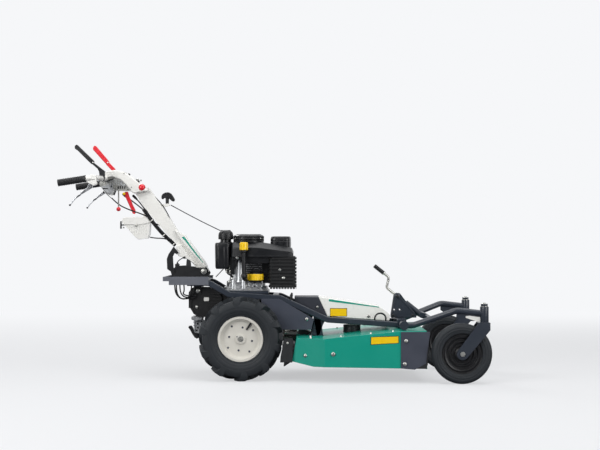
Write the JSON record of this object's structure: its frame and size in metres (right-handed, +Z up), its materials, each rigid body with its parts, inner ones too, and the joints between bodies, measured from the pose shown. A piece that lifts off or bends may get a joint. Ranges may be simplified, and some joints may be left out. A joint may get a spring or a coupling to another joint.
{
  "type": "mulching mower",
  "caption": "Walk-behind mulching mower: tall lugged drive wheels under an open engine, a wide rotary deck on swivelling front casters, and a tilting handlebar.",
  "frame": {"origin": "on the floor, under the middle of the bounding box", "axes": "+X forward towards the casters, +Y to the machine's left, +Z up"},
  "size_m": [2.116, 0.802, 1.1869],
  "materials": {
    "frame_enamel": "satin",
    "plate_enamel": "satin",
    "tray_enamel": "satin",
    "green_enamel": "gloss",
    "white_enamel": "gloss",
    "rim_enamel": "satin",
    "white_cover": "gloss",
    "dark_cover": "satin",
    "black_shroud": "satin",
    "black_guard": "matte",
    "black_plastic": "satin",
    "black_wheel": "satin",
    "black_rod": "satin",
    "black_lever": "satin",
    "yellow_plastic": "gloss",
    "red_plastic": "gloss",
    "red_lever": "satin",
    "cast_alloy": "cast",
    "cast_housing": "cast",
    "lever_alloy": "satin",
    "blade_steel": "brushed",
    "zinc": "satin",
    "tyre": "matte",
    "rubber_flap": "matte",
    "grip_rubber": "matte",
    "cable_sheath": "satin",
    "rope": "woven"
  },
  "bodies": {
    "chassis": {"air_box": "black_plastic", "belt_cover": "white_cover", "belt_cover_rear": "dark_cover", "coupling_sleeve": "zinc", "crankcase": "cast_alloy", "cross_members": "frame_enamel", "deck_flaps": "rubber_flap", "deck_hangers": "frame_enamel", "deck_shell": "green_enamel", "engine_plate": "frame_enamel", "engine_shroud": "black_shroud", "fuel_tank": "black_plastic", "gearbox": "cast_housing", "height_bracket": "frame_enamel", "lift_loops": "black_rod", "main_rails": "frame_enamel", "muffler": "black_guard", "oil_filler": "black_plastic", "oil_filter": "yellow_plastic", "pivot_bracket": "black_plastic", "pivot_housing": "frame_enamel", "rear_hitch": "cast_alloy", "rear_housing": "black_guard", "recoil_cover": "black_shroud", "side_plates": "plate_enamel", "spindle_housing": "cast_housing", "tail_cables": "cable_sheath", "tray": "tray_enamel"},
    "handlebar": {"black_lever": "black_lever", "brake_levers": "lever_alloy", "console_cables": "cable_sheath", "console_hood": "white_cover", "console_works": "zinc", "grips": "grip_rubber", "handle_column": "white_enamel", "handlebar_tubes": "white_enamel", "pull_handles": "black_plastic", "recoil_rope": "rope", "red_controls": "red_plastic", "red_lever": "red_lever", "storage_pod": "white_cover"},
    "front_arm": {"front_arms": "frame_enamel", "front_cross_tubes": "frame_enamel"},
    "height_screw": {"height_screw": "frame_enamel"},
    "screw_tube": {"screw_tube": "frame_enamel"},
    "blade": {"blade": "blade_steel"},
    "drive_wheel_right": {"drive_tyre_right": "tyre", "drive_rim_right": "rim_enamel", "drive_axle_right": "zinc"},
    "caster_right": {"caster_fork_right": "frame_enamel", "caster_axle_right": "zinc"},
    "caster_wheel_right": {"caster_rim_right": "black_wheel", "caster_tyre_right": "tyre"},
    "drive_wheel_left": {"drive_tyre_left": "tyre", "drive_rim_left": "rim_enamel", "drive_axle_left": "zinc"},
    "caster_left": {"caster_fork_left": "frame_enamel", "caster_axle_left": "zinc"},
    "caster_wheel_left": {"caster_rim_left": "black_wheel", "caster_tyre_left": "tyre"}
  },
  "joints": [
    {"name": "handle_tilt", "type": "hinge", "parent": "chassis", "child": "handlebar", "pos_m": [-0.353, 0, 0.534], "axis": [0, 1, 0], "range_deg": [-12, 12], "deforming": ["recoil_rope"]},
    {"name": "cutting_height", "type": "hinge", "parent": "chassis", "child": "front_arm", "pos_m": [0.64, 0, 0.277], "axis": [0, 1, 0], "range_deg": [-4, 4]},
    {"name": "screw_trunnion", "type": "hinge", "parent": "chassis", "child": "height_screw", "pos_m": [0.627, 0, 0.408], "axis": [0, 1, 0], "range_deg": [-2.5, 2.5]},
    {"name": "screw_eye", "type": "hinge", "parent": "front_arm", "child": "screw_tube", "pos_m": [0.75, 0, 0.31], "axis": [0, 1, 0], "range_deg": [-3.5, 3.5]},
    {"name": "blade_spin", "type": "hinge", "parent": "chassis", "child": "blade", "pos_m": [0.39704, 0, 0.12], "axis": [0, 0, 1], "continuous": true},
    {"name": "drive_wheel_right_spin", "type": "hinge", "parent": "chassis", "child": "drive_wheel_right", "pos_m": [-0.159, -0.226, 0.2075], "axis": [0, 1, 0], "continuous": true},
    {"name": "caster_right_swivel", "type": "hinge", "parent": "front_arm", "child": "caster_right", "pos_m": [1.022, -0.35, 0.33], "axis": [0, 0, 1], "continuous": true},
    {"name": "caster_wheel_right_spin", "type": "hinge", "parent": "caster_right", "child": "caster_wheel_right", "pos_m": [0.912, -0.35, 0.146], "axis": [0, 1, 0], "continuous": true},
    {"name": "drive_wheel_left_spin", "type": "hinge", "parent": "chassis", "child": "drive_wheel_left", "pos_m": [-0.159, 0.226, 0.2075], "axis": [0, 1, 0], "continuous": true},
    {"name": "caster_left_swivel", "type": "hinge", "parent": "front_arm", "child": "caster_left", "pos_m": [1.022, 0.35, 0.33], "axis": [0, 0, 1], "continuous": true},
    {"name": "caster_wheel_left_spin", "type": "hinge", "parent": "caster_left", "child": "caster_wheel_left", "pos_m": [0.912, 0.35, 0.146], "axis": [0, 1, 0], "continuous": true}
  ],
  "couplings": [
    {"joint": "screw_trunnion", "follows": "cutting_height", "ratio": 0.416},
    {"joint": "screw_eye", "follows": "cutting_height", "ratio": -0.584}
  ]
}
